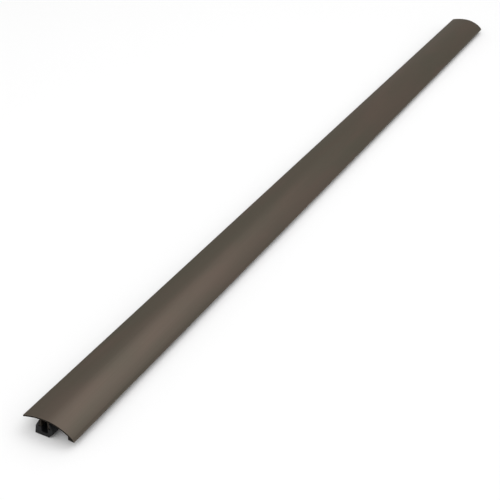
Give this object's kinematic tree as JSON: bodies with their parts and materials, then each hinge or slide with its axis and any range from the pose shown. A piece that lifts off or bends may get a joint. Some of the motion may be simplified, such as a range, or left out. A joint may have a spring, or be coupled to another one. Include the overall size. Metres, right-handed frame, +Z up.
{
  "type": "door threshold strip",
  "caption": "Domed aluminium floor transition strip with a thin lip, a thick foot and a two-legged rail below that grips sliding black snap clips.",
  "frame": {"origin": "under the middle of the strip, level with the undersides of the snap clips: the bottom centre of the bounding box", "axes": "+Y along the strip, +X across it from the thin lip to the thick foot, +Z up from the subfloor to the crown"},
  "size_m": [0.04, 0.93, 0.0142],
  "materials": {
    "bronze_anodised": "dark bronze anodised, satin, fine lines along the extrusion",
    "black_plastic": "moulded black plastic, slight sheen"
  },
  "bodies": {
    "cover": {"cover_profile": "bronze_anodised"},
    "clip_1": {"snap_clip_1": "black_plastic"},
    "clip_2": {"snap_clip_2": "black_plastic"},
    "clip_3": {"snap_clip_3": "black_plastic"},
    "clip_4": {"snap_clip_4": "black_plastic"},
    "clip_5": {"snap_clip_5": "black_plastic"},
    "clip_6": {"snap_clip_6": "black_plastic"},
    "clip_7": {"snap_clip_7": "black_plastic"}
  },
  "joints": [
    {"name": "clip_1_slide", "type": "slide", "parent": "cover", "child": "clip_1", "axis": [0, 1, 0], "range_m": [0, 0.05]},
    {"name": "clip_2_slide", "type": "slide", "parent": "cover", "child": "clip_2", "axis": [0, 1, 0], "range_m": [-0.05, 0.05]},
    {"name": "clip_3_slide", "type": "slide", "parent": "cover", "child": "clip_3", "axis": [0, 1, 0], "range_m": [-0.05, 0.05]},
    {"name": "clip_4_slide", "type": "slide", "parent": "cover", "child": "clip_4", "axis": [0, 1, 0], "range_m": [-0.05, 0.05]},
    {"name": "clip_5_slide", "type": "slide", "parent": "cover", "child": "clip_5", "axis": [0, 1, 0], "range_m": [-0.05, 0.05]},
    {"name": "clip_6_slide", "type": "slide", "parent": "cover", "child": "clip_6", "axis": [0, 1, 0], "range_m": [-0.05, 0.05]},
    {"name": "clip_7_slide", "type": "slide", "parent": "cover", "child": "clip_7", "axis": [0, 1, 0], "range_m": [-0.05, 0]}
  ]
}
